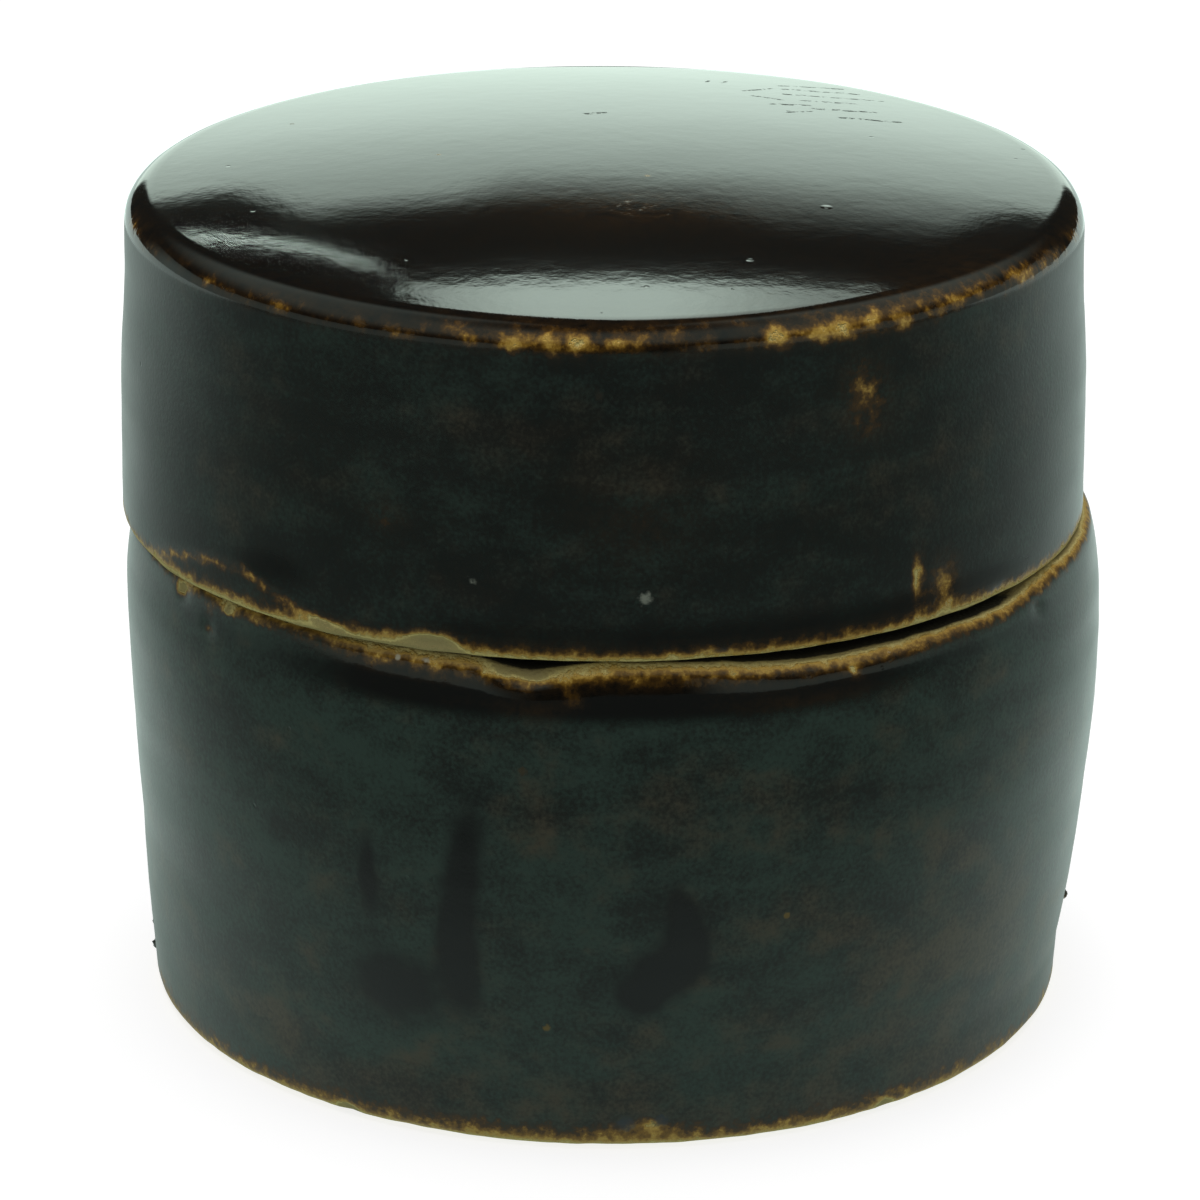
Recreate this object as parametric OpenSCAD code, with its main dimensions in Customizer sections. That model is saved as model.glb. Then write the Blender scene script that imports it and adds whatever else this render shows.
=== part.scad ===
// Round stoneware ink pot with a deep lift-off lid and an ink-soaked silk wad.
// Millimetres, +Z up. The origin is the centre of the foot, on the surface it stands on.

/* [Pot] */
// Height of the seat that the lid rests on, above the foot
seat_z = 35.4; // [27:0.1:46]
// Radius of the belly at its widest
belly_r = 34.4; // [28:0.1:45]
// Distance from the seat down to the widest part of the belly
belly_drop = 8; // [4:0.1:14]
// Radius of the curve that the outer wall follows from foot to rim
wall_curve_r = 144; // [100:1:400]
// Height of the stretch below the seat where the wall turns in towards the rim
rim_turn_h = 5.5; // [0:0.1:8]
// Radius of that turn
rim_turn_r = 25; // [20:1:80]
// Thickness of the wall, from foot to shoulder
pot_wall_t = 6.4; // [4:0.1:8]
// Thickness of the floor
pot_floor_t = 6; // [4:0.1:8]
// Radius of the rounded outer edge of the rim
rim_edge_r = 0.8; // [0.3:0.1:0.9]
// Radius of the rounded edge where the wall meets the foot
foot_edge_r = 0.9; // [0.3:0.1:2]
// Width of the flat ring that the pot stands on
foot_ring_w = 5.5; // [3:0.1:9]
// Depth of the shallow hollow inside the foot ring
foot_hollow = 0.8; // [0.2:0.1:2]

/* [Bowl inside the pot] */
// Radius of the rounded corner between floor and wall
bowl_corner_r = 8; // [4:0.1:9]
// Radius of the curve that turns the bowl in under the collar
bowl_shoulder_r = 6; // [3:0.1:7]
// Height of the straight throat between that curve and the seat
throat_h = 2; // [0.5:0.1:4]

/* [Locating collar] */
// Height of the collar above the seat
collar_h = 4.6; // [2:0.1:6]
// Thickness of the collar
collar_t = 2.8; // [1.6:0.1:3.6]
// Radius of the fillet between collar and seat
collar_fillet_r = 0.5; // [0.2:0.1:0.7]

/* [Lid] */
// How far the lid's wall stands inside the pot's rim, when the lid is central
lid_inset = 0.45; // [0:0.1:2]
// How much smaller the lid's radius is at its shoulder than at its lower edge
lid_taper = 0.3; // [0:0.1:1.5]
// Height of the lid's wall, from the seat to the shoulder line
lid_wall_h = 20.8; // [15:0.1:40]
// Thickness of the lid's wall
lid_wall_t = 4.8; // [3.5:0.1:7]
// Thickness of the roof where the crown begins
lid_roof_t = 4.6; // [3:0.1:6]
// Radius of the rounded edge above the shoulder line
shoulder_r = 1.7; // [0.8:0.1:4]
// Slope of the domed crown where it meets the rounded edge, in degrees
crown_slope = 7.3; // [3:0.1:14]
// Radius of the rounded corner inside, between wall and roof
lid_corner_r = 5; // [2:0.1:8]
// Radius of the rounded lower edges of the lid's wall
lip_edge_r = 0.7; // [0.3:0.1:1.2]

/* [Fit] */
// Clearance all round between the collar and the lid, when the lid is central
collar_gap = 0.9; // [0.4:0.05:2]
// Share of that clearance that the lid has slid towards -X
lid_slip = 0.6; // [0:0.05:0.9]

/* [Ink wad] */
// Thickness of the silk wad
wad_h = 12; // [9:0.1:14]
// Clearance between the wad and the bowl's wall
wad_gap = 0.3; // [0.1:0.05:1]
// Radius of the wad's rounded upper edge
wad_edge_r = 3.5; // [1:0.1:4]

/* [Hidden] */
$fn = 96;

glaze_colour = "#201a14";
ink_colour = "#08090c";

// Straight steps that an arc is drawn with: few on a small edge, more on a long curve.
edge_steps = 8;
curve_steps = 18;

// Outside of the pot: one long curve, whose widest point is the belly, and a tighter one below the rim.
belly_z = seat_z - belly_drop;
rim_z = seat_z - rim_edge_r;
rim_turn_z = seat_z - rim_turn_h;
function wall_r(z) =
    belly_r - wall_curve_r + sqrt(pow(wall_curve_r, 2) - pow(z - belly_z, 2))
    - pow(max(0, z - rim_turn_z), 2) / (2 * rim_turn_r);
function wall_points(from_z, to_z, inset) =
    [for (i = [0:curve_steps]) let (z = from_z + (to_z - from_z) * i / curve_steps) [wall_r(z) - inset, z]];
foot_flat_r = wall_r(foot_edge_r) - foot_edge_r;

// Seat, from the rim inwards: the lid's wall, the clearance, the collar, then the open throat.
rim_r = wall_r(rim_z);
lid_r = rim_r - lid_inset;
lid_bore_r = lid_r - lid_wall_t;
collar_r = lid_bore_r - collar_gap;
throat_r = collar_r - collar_t;
throat_z = seat_z - throat_h;
lid_x = -lid_slip * collar_gap;

// The curve under the collar turns until it meets the throat, or by a quarter turn at most.
turn_in = wall_r(throat_z) - pot_wall_t - throat_r;
turn_angle = acos(max(0, 1 - turn_in / bowl_shoulder_r));
bowl_shoulder_z = throat_z - bowl_shoulder_r * sin(turn_angle);
bowl_corner_z = pot_floor_t + bowl_corner_r;

// Crown of the lid: a sphere that leaves the rounded edge with no kink.
shoulder_z = seat_z + lid_wall_h;
shoulder_x = lid_r - lid_taper - shoulder_r;
crown_edge_z = shoulder_z + shoulder_r * cos(crown_slope);
crown_r = (shoulder_x + shoulder_r * sin(crown_slope)) / sin(crown_slope);
crown_centre_z = crown_edge_z - crown_r * cos(crown_slope);
roof_z = crown_edge_z - lid_roof_t;

// Points along an arc round [x, z], from angle a to angle b, both ends included.
function arc(x, z, r, a, b, steps) =
    [for (i = [0:steps]) let (t = a + (b - a) * i / steps) [x + r * cos(t), z + r * sin(t)]];

// Pot: foot, wall, rim, seat, collar and bowl, thrown as one piece of clay.
module pot() {
    underside = [
        [0, foot_hollow],
        [foot_flat_r - foot_ring_w - foot_hollow, foot_hollow],
        [foot_flat_r - foot_ring_w, 0]
    ];
    outside = concat(
        arc(foot_flat_r, foot_edge_r, foot_edge_r, -90, 0, edge_steps),
        wall_points(foot_edge_r, rim_z, 0),
        arc(rim_r - rim_edge_r, rim_z, rim_edge_r, 0, 90, edge_steps)
    );
    collar_top_z = seat_z + collar_h - collar_t / 2;
    collar = concat(
        arc(collar_r + collar_fillet_r, seat_z + collar_fillet_r, collar_fillet_r, 270, 180, edge_steps),
        arc(collar_r - collar_t / 2, collar_top_z, collar_t / 2, 0, 180, curve_steps),
        [[throat_r, throat_z]]
    );
    bowl_shoulder_x = wall_r(bowl_shoulder_z) - pot_wall_t - bowl_shoulder_r;
    bowl_corner_x = wall_r(bowl_corner_z) - pot_wall_t - bowl_corner_r;
    bowl = concat(
        arc(bowl_shoulder_x, bowl_shoulder_z, bowl_shoulder_r, turn_angle, 0, edge_steps),
        wall_points(bowl_shoulder_z, bowl_corner_z, pot_wall_t),
        arc(bowl_corner_x, bowl_corner_z, bowl_corner_r, 0, -90, curve_steps),
        [[0, pot_floor_t]]
    );
    color(glaze_colour) rotate_extrude() polygon(concat(underside, outside, collar, bowl));
}

// Lid: a deep cap that drops over the collar and stands on the seat.
module lid() {
    outside = concat(
        arc(lid_r - lip_edge_r, seat_z + lip_edge_r, lip_edge_r, -90, 0, edge_steps),
        arc(shoulder_x, shoulder_z, shoulder_r, 0, 90 - crown_slope, edge_steps),
        arc(0, crown_centre_z, crown_r, 90 - crown_slope, 90, curve_steps)
    );
    inside = concat(
        [[0, roof_z]],
        arc(lid_bore_r - lid_corner_r, roof_z - lid_corner_r, lid_corner_r, 90, 0, edge_steps),
        arc(lid_bore_r + lip_edge_r, seat_z + lip_edge_r, lip_edge_r, 180, 270, edge_steps)
    );
    color(glaze_colour) translate([lid_x, 0, 0]) rotate_extrude() polygon(concat(outside, inside));
}

// Ink wad: a soft pad of silk floss that fills the lower part of the bowl.
module ink_wad() {
    wad_top_z = pot_floor_t + wad_h;
    wad_edge_z = wad_top_z - wad_edge_r;
    wad_corner_r = bowl_corner_r - wad_gap;
    wad_corner_x = wall_r(bowl_corner_z) - pot_wall_t - bowl_corner_r;
    wad_edge_x = wall_r(wad_edge_z) - pot_wall_t - wad_gap - wad_edge_r;
    outline = concat(
        [[0, pot_floor_t]],
        arc(wad_corner_x, pot_floor_t + wad_corner_r, wad_corner_r, -90, 0, curve_steps),
        arc(wad_edge_x, wad_edge_z, wad_edge_r, 0, 90, edge_steps),
        [[0, wad_top_z]]
    );
    color(ink_colour) rotate_extrude() polygon(outline);
}

pot();
lid();
ink_wad();
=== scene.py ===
# %% [markdown]
# # A covered stoneware ink pot
#
# The pot is thrown on a wheel: a wide bowl with a collar, and a deep lid that drops over the collar.
# Both are dipped in one dark iron glaze. The glaze runs off every edge while it melts, so it goes amber
# where it is thin and black where it pools, and the clay stays bare where lid and pot stand on each
# other in the kiln.
#
# The plan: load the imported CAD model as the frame, turn each pot shape from an outline, push the
# surface about the way a potter's hand and the kiln do, paint how thick the glaze lies as an attribute,
# and let one glaze material read that attribute.

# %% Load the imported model
import math
import bmesh
import bpy
import numpy as np
from mathutils import Matrix, Vector, noise


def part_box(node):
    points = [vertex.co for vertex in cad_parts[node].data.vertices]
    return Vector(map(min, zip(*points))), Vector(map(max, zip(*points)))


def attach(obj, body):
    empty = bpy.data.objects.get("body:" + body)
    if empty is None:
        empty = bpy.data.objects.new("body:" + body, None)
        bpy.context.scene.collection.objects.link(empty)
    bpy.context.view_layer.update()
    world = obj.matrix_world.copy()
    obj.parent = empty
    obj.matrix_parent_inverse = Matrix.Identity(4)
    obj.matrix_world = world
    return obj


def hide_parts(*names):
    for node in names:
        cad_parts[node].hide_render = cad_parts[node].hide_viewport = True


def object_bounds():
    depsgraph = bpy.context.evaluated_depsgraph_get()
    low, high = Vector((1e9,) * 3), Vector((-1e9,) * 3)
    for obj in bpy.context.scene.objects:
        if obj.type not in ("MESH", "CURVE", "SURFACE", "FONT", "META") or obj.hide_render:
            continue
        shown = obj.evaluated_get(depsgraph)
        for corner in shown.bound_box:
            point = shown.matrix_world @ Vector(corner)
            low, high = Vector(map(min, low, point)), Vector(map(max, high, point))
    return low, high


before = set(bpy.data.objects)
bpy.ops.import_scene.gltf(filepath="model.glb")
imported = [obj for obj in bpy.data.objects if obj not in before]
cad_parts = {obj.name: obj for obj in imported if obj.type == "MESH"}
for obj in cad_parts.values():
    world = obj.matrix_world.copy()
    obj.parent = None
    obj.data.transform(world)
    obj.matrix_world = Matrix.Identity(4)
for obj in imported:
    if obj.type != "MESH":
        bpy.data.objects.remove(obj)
cad_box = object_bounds()
scene = bpy.context.scene
MM = 0.001

# %% [markdown]
# ## Sizes
#
# The sizes that the CAD model fixes are read from its boxes, in millimetres, because a millimetre is
# the natural unit for a pot that fits in a hand. What a box can't tell, such as the thickness of a
# wall, is named here.

# %% Sizes from the CAD boxes
pot_low, pot_high = (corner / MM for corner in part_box("pot"))
lid_low, lid_high = (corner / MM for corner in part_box("lid"))
wad_low, wad_high = (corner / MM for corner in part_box("ink_wad"))

belly_r = (pot_high.x - pot_low.x) / 2
seat_z = lid_low.z
collar_top_z = pot_high.z
lid_x = (lid_low.x + lid_high.x) / 2
lid_r = (lid_high.x - lid_low.x) / 2
crown_top_z = lid_high.z
print(f"belly radius {belly_r:.2f}, seat at {seat_z:.2f} mm")
print(f"lid radius {lid_r:.2f}, off centre by {lid_x:.2f} mm")

# %% Sizes of the clay that the boxes don't tell
belly_z = seat_z - 8
wall_curve_r = 144
rim_turn_z = seat_z - 5.5
rim_turn_r = 25
pot_wall = 6.4
lid_wall = 4.8
collar_wall = 2.8
collar_gap = 0.9
lid_bore_r = lid_r - lid_wall
collar_r = lid_bore_r - collar_gap
throat_r = collar_r - collar_wall
throat_low_z = 32.9
floor_z = wad_low.z
foot_hollow_r = 24.7
foot_hollow_z = 0.8
foot_inner_r = 25.6
shoulder_z = seat_z + 20.8
lid_taper = 0.3
shoulder_r = 1.7
roof_z = 53.3


def thrown_wall(z):
    """Radius of the pot's outer wall at height z: one long curve, and a tighter turn under the rim."""
    z = np.clip(z, 0, seat_z)
    long_curve = np.sqrt(wall_curve_r ** 2 - (z - belly_z) ** 2) - wall_curve_r
    rim_turn = np.maximum(0, z - rim_turn_z) ** 2 / (2 * rim_turn_r)
    return belly_r + long_curve - rim_turn


foot_r = float(thrown_wall(0))
rim_r = float(thrown_wall(seat_z))
print(f"foot radius {foot_r:.2f}, rim radius {rim_r:.2f} mm")

# %% [markdown]
# ## Turning a shape
#
# A pot is a shape of revolution, so half its section is drawn as a chain of edges from the axis back to
# the axis. Bevelling a vertex of that chain rounds the corner, as a wet sponge does. The chain is then
# cut into short lengths and spun. One spin of several hundred steps is slow, because each step looks
# through all that is there so far, so a narrow wedge is spun first and then copied round. Merging
# doubles closes the joins between wedges and the two points on the axis. Short edges outside leave room
# for the small dents that come later. The inside needs fewer. The operators leave edges and faces in
# another order on each run, and a cloth simulation feels that order. So at the end they are sorted by
# their vertices' numbers, which are the same on each run.

# %% Turn an outline into a mesh
FINE = 0.45
COARSE = 1.2
WEDGES = 20


def turned(corners, is_outside, turn_steps, fine=FINE):
    """A bmesh spun from corners (radius, height, rounding), in millimetres, that run from axis to axis."""
    bm = bmesh.new()
    chain = [bm.verts.new((r, 0, z)) for r, z, rounding in corners]
    for pair in zip(chain, chain[1:]):
        bm.edges.new(pair)
    for vert, (r, z, rounding) in zip(chain, corners):
        if rounding:
            near, far = (edge.other_vert(vert).co - vert.co for edge in vert.link_edges)
            turn = math.pi - near.angle(far)
            bmesh.ops.bevel(
                bm, geom=[vert], affect="VERTICES", offset_type="OFFSET", profile=0.5, material=-1,
                offset=rounding * math.tan(turn / 2), segments=max(4, math.ceil(rounding * turn / fine)))
    cuts = {}
    for edge in bm.edges:
        middle = (edge.verts[0].co + edge.verts[1].co) / 2
        step = fine if is_outside(middle.x, middle.z) else COARSE
        cuts.setdefault(math.ceil(edge.calc_length() / step) - 1, []).append(edge)
    for count, edges in cuts.items():
        if count > 0:
            bmesh.ops.subdivide_edges(bm, edges=edges, cuts=count)
    wedge = math.tau / WEDGES
    bmesh.ops.spin(
        bm, geom=bm.verts[:] + bm.edges[:], cent=(0, 0, 0), axis=(0, 0, 1), angle=wedge,
        steps=turn_steps // WEDGES)
    bmesh.ops.spin(
        bm, geom=bm.verts[:] + bm.edges[:] + bm.faces[:], cent=(0, 0, 0), axis=(0, 0, 1),
        angle=math.tau - wedge, steps=WEDGES - 1, use_duplicate=True)
    bmesh.ops.remove_doubles(bm, verts=bm.verts[:], dist=0.001)
    bmesh.ops.recalc_face_normals(bm, faces=bm.faces[:])
    bm.verts.index_update()
    for parts in (bm.edges, bm.faces):
        parts.sort(key=lambda part: sum(math.sqrt(2 + vert.index) for vert in part.verts))
    return bm


# %% Make a piece from a bmesh
def piece_from(bm, name):
    """A smooth-shaded object from a bmesh in millimetres. Its place is in its mesh, not in the object."""
    bmesh.ops.scale(bm, vec=(MM, MM, MM), verts=bm.verts[:])
    mesh = bpy.data.meshes.new(name)
    bm.to_mesh(mesh)
    bm.free()
    mesh.polygons.foreach_set("use_smooth", [True] * len(mesh.polygons))
    piece = bpy.data.objects.new(name, mesh)
    scene.collection.objects.link(piece)
    return piece


# %% [markdown]
# Denting a wall point by point in Python is slow for a mesh of a hundred thousand points. So the points
# are read into one array, moved all at once, and written back. Numbers that a material needs later are
# kept on the vertices as attributes, in the same way that a potter's brush leaves more or less glaze in
# a place.

# %% Read and write a piece's points
def points_of(piece):
    """The piece's vertices as rows of x, y, z in millimetres."""
    flat = np.empty(len(piece.data.vertices) * 3)
    piece.data.vertices.foreach_get("co", flat)
    return flat.reshape(-1, 3) / MM


def set_points(piece, points):
    piece.data.vertices.foreach_set("co", (points * MM).ravel())
    piece.data.update()


def paint(piece, name, values):
    """Keeps one number for each vertex, which a material can read by that name."""
    layer = piece.data.attributes.new(name, "FLOAT", "POINT")
    layer.data.foreach_set("value", np.asarray(values, np.float32))


# %% [markdown]
# ## Places and unevenness
#
# Marks on a round pot are easiest to place by the way round and the height. The way round is in degrees
# from the front, which faces -Y, towards +X. `mark` is 1 at the middle of a soft oval mark and fades to
# 0 around it. `drift` is smooth noise, the same on every run, for all that a hand or a kiln does
# without meaning to.

# %% Way round, marks and drift
def way_round(points, centre_x=0.0):
    """Degrees from the front, growing towards +X, about an axis at centre_x."""
    return np.degrees(np.arctan2(points[:, 0] - centre_x, -points[:, 1]))


def out_from(points, centre_x=0.0):
    """Distance from an axis at centre_x."""
    return np.hypot(points[:, 0] - centre_x, points[:, 1])


def mark(angle, height, at_angle, at_height, wide, high, lean=0.0):
    """1 at the middle of an oval mark on the wall, wide and high in millimetres, fading to 0 around it.

    With a lean, the mark's top is moved towards +X by that share of the height."""
    along = np.radians(angle - at_angle) * belly_r - lean * (height - at_height)
    return np.exp(-((along / (wide / 2)) ** 2 + ((height - at_height) / (high / 2)) ** 2))


def drift(points, size, seed):
    """Smooth noise from about -1 to 1, with bumps about size millimetres across."""
    shift = Vector((17.3 * seed, 5.1 * seed, 9.7 * seed))
    return np.array([noise.noise(Vector(point) / size + shift) for point in points])


def smooth_step(low, high, value):
    """0 at low and 1 at high, smooth between. With low above high it runs the other way."""
    share = np.clip((value - low) / (high - low), 0, 1)
    return share * share * (3 - 2 * share)


# %% Push points out, and knock chips off
def push_out(points, angle, amount):
    """Moves points straight out from the axis by amount, in millimetres."""
    points[:, 0] += np.sin(np.radians(angle)) * amount
    points[:, 1] -= np.cos(np.radians(angle)) * amount


def knock_off(chips, points, angle, height, outside, small):
    """Presses chips into the wall. Each has a way round, a height, how wide and high it is, and a depth."""
    for at_angle, at_height, wide, high, deep in chips:
        shape = mark(angle, height, at_angle, at_height, wide, high)
        push_out(points, angle, -outside * deep * shape * (1 + 0.5 * small))


# %% [markdown]
# ## The pot
#
# On the wheel the pot starts as a straight cylinder that is then bellied out. The mesh is made the same
# way: a straight outline is turned, and every ring is then moved out to the thrown curve. The collar
# stands up inside the seat and keeps the lid in place.

# %% Turn the pot
wall_rise = (rim_r - foot_r) / seat_z
bowl_foot_r = foot_r + wall_rise * floor_z - pot_wall
bowl_corner_r = 8.0
bowl_neck_z = 30.5
bowl_neck_r = foot_r + wall_rise * bowl_neck_z - pot_wall
TURN_STEPS = 400
pot_corners = [
    (0, foot_hollow_z, 0),
    (foot_hollow_r, foot_hollow_z, 0.3),
    (foot_inner_r, 0.0, 0.3),
    (foot_r, 0.0, 0.9),
    (rim_r, seat_z, 0.8),
    (collar_r, seat_z, 0.5),
    (collar_r, collar_top_z, 1.38),
    (throat_r, collar_top_z, 1.38),
    (throat_r, throat_low_z, 1.5),
    (bowl_neck_r, bowl_neck_z, 3.0),
    (bowl_foot_r, floor_z, bowl_corner_r),
    (0, floor_z, 0),
]
pot = piece_from(turned(pot_corners, lambda r, z: r > collar_r + 1, TURN_STEPS), "glazed_pot")
at = points_of(pot)
out = out_from(at)
straight = foot_r + wall_rise * np.clip(at[:, 2], 0, seat_z)
push_out(at, way_round(at), (thrown_wall(at[:, 2]) - straight) * np.minimum(1, out / bowl_foot_r))
set_points(pot, at)
print(f"pot: {len(pot.data.polygons)} faces")

# %% [markdown]
# A hand-thrown wall is never quite round. It keeps faint rings from the potter's fingers, the rim sags
# a little in the fire, and small chips come off where lid and pot knock together. These are real dents
# in the mesh. The seat dips at the front and on the right, which is where a dark gap shows under the
# lid. Three sizes of noise make the unevenness: slow over the whole pot, quick over a finger's width,
# and small as a grain.

# %% Make the pot uneven
SLOW_MM = 26
QUICK_MM = 7
SMALL_MM = 1.6
angle = way_round(at)
height = at[:, 2]
out = out_from(at)
outside = smooth_step(3.2, 1.6, thrown_wall(height) - out) * (height < seat_z + 0.1)
slow = drift(at, SLOW_MM, 1)
quick = drift(at, QUICK_MM, 2)
small = drift(at, SMALL_MM, 3)
rings = np.sin(height * 2.1 + 1.5 * np.sin(np.radians(angle)) + 2 * slow)
push_out(at, angle, outside * (0.08 * slow + 0.035 * quick + 0.004 * rings) * smooth_step(0, 2, height))
print(f"the wall outside has {np.count_nonzero(outside > 0.5)} points")

# %% Lean the pot
left_lean = np.interp(
    height, [0, 4, 8, 13, 20, 25, 31, 35],
    [0.75, 0.35, 0.0, -0.42, -0.55, -0.5, -0.35, -0.3])
right_lean = np.interp(
    height, [0, 4, 8, 16, 22, 27, 32, 35],
    [0.35, -0.15, -0.1, -0.05, 0.15, 0.15, 0.0, -0.05])
to_left = np.maximum(0, -np.sin(np.radians(angle))) ** 2
to_right = np.maximum(0, np.sin(np.radians(angle))) ** 2
whole_wall = smooth_step(floor_z + 14, floor_z + 24, out)
push_out(at, angle, whole_wall * (to_left * left_lean + to_right * right_lean))
foot_spread = 0.45 * smooth_step(6, 0, height) * (1 - to_left) * (1 - to_right)
push_out(at, angle, outside * foot_spread)
print(f"the pot leans by {left_lean.min():.2f} to {left_lean.max():.2f} mm on its left")

# %% Chip the pot and let its seat sag
pot_chips = [
    (-59.2, 34.3, 1.6, 0.9, 0.30),
    (-52.7, 32.9, 1.0, 0.8, 0.22),
    (58.4, 33.6, 1.2, 0.9, 0.25),
    (-33.3, 0.4, 1.4, 0.9, 0.30),
    (3.8, 1.7, 4.2, 1.4, 0.16),
    (36, 0.5, 1.2, 0.8, 0.2),
    (-8.9, 34.4, 5.0, 1.4, 0.2),
]
knock_off(pot_chips, at, angle, height, outside, small)
near_seat = smooth_step(seat_z - 2.2, seat_z - 0.3, height)
near_seat = near_seat * (out > collar_r + 0.8) * (height < seat_z + 0.1)
rim_edge = smooth_step(collar_r + 1.2, collar_r + 2.6, out)
dip = 0.70 * np.exp(-(((angle + 8.9) / 4.6) ** 2))
sag = 0.60 * smooth_step(4, 24, angle) * smooth_step(68, 50, angle)
at[:, 2] -= near_seat * rim_edge * (dip + sag + 0.10 + 0.06 * quick + 0.05 * small)
near_foot = smooth_step(1.2, 0.1, height) * smooth_step(30.6, 31.6, out)
at[:, 2] += near_foot * np.maximum(0, 0.14 * quick + 0.10 * small + 0.05)
set_points(pot, at)
print("dents in the pot's wall:", len(pot_chips))

# %% [markdown]
# How thick the glaze lies is painted on the vertices. One is a full coat, 0.3 to 0.6 shows brown and
# amber, and zero or less is bare clay. A second number says how glossy the glaze came out: the
# sheltered band under the rim is wet and shiny, and the open wall is satin. The ragged edges of a glaze
# line come later, in the material, because they are finer than the mesh.

# %% The pot's coat at the rim and the foot
height = at[:, 2]
out = out_from(at)
ragged = height + 0.22 * quick + 0.12 * small
rim_top = seat_z - dip - sag - 0.1
band = smooth_step(-44, -22, angle) * smooth_step(48, 20, angle)
below_rim = rim_top - 0.10 - ragged
front_coat = np.interp(below_rim, [-0.15, 0, 0.3, 1.1, 2.4, 3.3], [-0.3, 0.0, 0.16, 0.46, 0.64, 1.0])
side_coat = np.interp(below_rim, [-0.15, 0, 0.2, 0.6, 1.2], [-0.3, 0.0, 0.2, 0.5, 1.0])
coat = front_coat * band + side_coat * (1 - band)
pool = np.exp(-(((height - 33.1) / 0.9) ** 2))
coat += 0.45 * pool * (0.35 + 0.65 * band)
coat = np.where(height < 12, np.minimum(coat, (ragged - 0.1) / 2.4), coat)
sheltered = smooth_step(30.2, 32.8, height) * smooth_step(seat_z, seat_z - 1.2, height)
pot_gloss = (0.25 + 0.75 * band) * sheltered
print(f"the amber band under the rim goes round {np.mean(band > 0.5):.0%} of the pot")

# %% [markdown]
# Where the melted glaze ran, it lies thicker and stays black and glossy. Each run is a few leaning
# marks in a row, written as the way round, the height, how wide and how high the mark is, and its lean.
# Where a chip or a bump sheds the glaze, it is thinner and goes brown or bare.

# %% Runs in the glaze, and thin places
runs = [
    (-16.6, 20.0, 2.5, 10.0, 0.12),
    (-17.0, 13.5, 2.8, 7.0, -0.08),
    (-25.0, 11.0, 6.5, 5.0, 0.0),
    (8.6, 17.0, 2.2, 5.5, -0.25),
    (6.4, 13.6, 5.0, 5.0, 0.35),
    (-28, 19, 1.4, 6.0, 0.0),
    (3.5, 11.8, 2.4, 2.4, 0),
]
run_marks = sum(mark(angle, height, *run) for run in runs)
run_marks = np.clip(run_marks * (1 + 0.35 * small), 0, 1)
coat += 0.5 * run_marks * outside
pot_gloss = np.maximum(pot_gloss, 0.6 * run_marks)
for *oval, deep in pot_chips:
    coat -= 1.1 * mark(angle, height, *oval) * (0.6 + 0.6 * small)
rim_bits = [
    (-60.3, 34.1, 1.3, 0.8),
    (-52.8, 33.9, 1.0, 0.8),
    (-49.2, 34.5, 1.4, 0.6),
    (-43.9, 34.6, 1.8, 0.5),
    (28.0, 33.5, 1.0, 0.9),
    (-4.0, 33.0, 1.2, 0.7),
]
for oval in rim_bits:
    coat -= 0.85 * mark(angle, height, *oval) * (0.8 + 0.8 * small)
print("marks in the pot's runs:", len(runs), "thin bits on its rim:", len(rim_bits))

# %% [markdown]
# The seat, the collar and the foot are wiped clean before firing, or the pot would fuse to its lid and
# to the shelf. The bowl is glazed inside. Ink has crept onto the bare seat over the years and blackened
# it in patches, which is a third painted number. On the seat it is also painted shade: it blackens the
# strip under the lid's lip, where the gap between lid and pot lies in shade. A fourth number says where
# the satin film is warmer, in large soft patches.

# %% Bare seat and foot, ink with painted gap shade, and warm patches
inner_coat = np.clip((31.2 - ragged) / 1.6, -0.3, 1)
coat = np.where(outside > 0.5, coat, np.where(out < throat_r + 4.2, inner_coat, -0.3))
coat = np.where((height < 0.9) & (out < foot_r - 1.0), -0.3, coat)
pot_gloss = np.where((outside < 0.5) & (inner_coat > 0.4), 0.9, pot_gloss)
crest_r = rim_r - 0.45
# The seat's ink black is also painted shade: it darkens the seat under the lid's lip, where the gap shows.
ink_and_gap_shade = smooth_step(crest_r + 0.1, crest_r - 0.35, out) * smooth_step(crest_r - 4.4, crest_r - 2.2, out)
ink_and_gap_shade = ink_and_gap_shade * (height > seat_z - 3) * (height < seat_z + 0.3) * (0.85 + 0.3 * small)
ink_and_gap_shade = ink_and_gap_shade * (0.35 + 0.65 * smooth_step(-0.5, 0.1, quick + 0.6 * slow + (np.abs(angle) < 75)))
ink_and_gap_shade = ink_and_gap_shade * (1 - 0.75 * smooth_step(50, 58, angle) * smooth_step(88, 74, angle))
mouth_ink = smooth_step(throat_r + 1.6, throat_r + 0.6, out)
mouth_ink = mouth_ink * smooth_step(floor_z + 20, floor_z + 30, height)
mouth_ink = mouth_ink * (0.35 + 0.5 * quick + 0.4 * small)
pot_warm = mark(angle, height, 48, 9, 36, 18) + 0.5 * mark(angle, height, 5, 25, 30, 7)
pot_warm += 0.7 * mark(angle, height, -30, 4, 40, 6) + 0.5 * mark(angle, height, 20, 2, 60, 4)
paint(pot, "ink", np.clip(np.maximum(ink_and_gap_shade, mouth_ink), 0, 1))
paint(pot, "warm", pot_warm)
paint(pot, "coat", coat)
paint(pot, "gloss", pot_gloss)
print(f"bare clay on {np.mean(coat <= 0):.0%} of the pot's points")

# %% [markdown]
# ## The lid
#
# The lid is thrown upside down as a shallow bowl with thick walls, then turned over. The crown starts
# flat here and is domed afterwards, which keeps the round of the shoulder and the dome in one smooth
# line.

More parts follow.
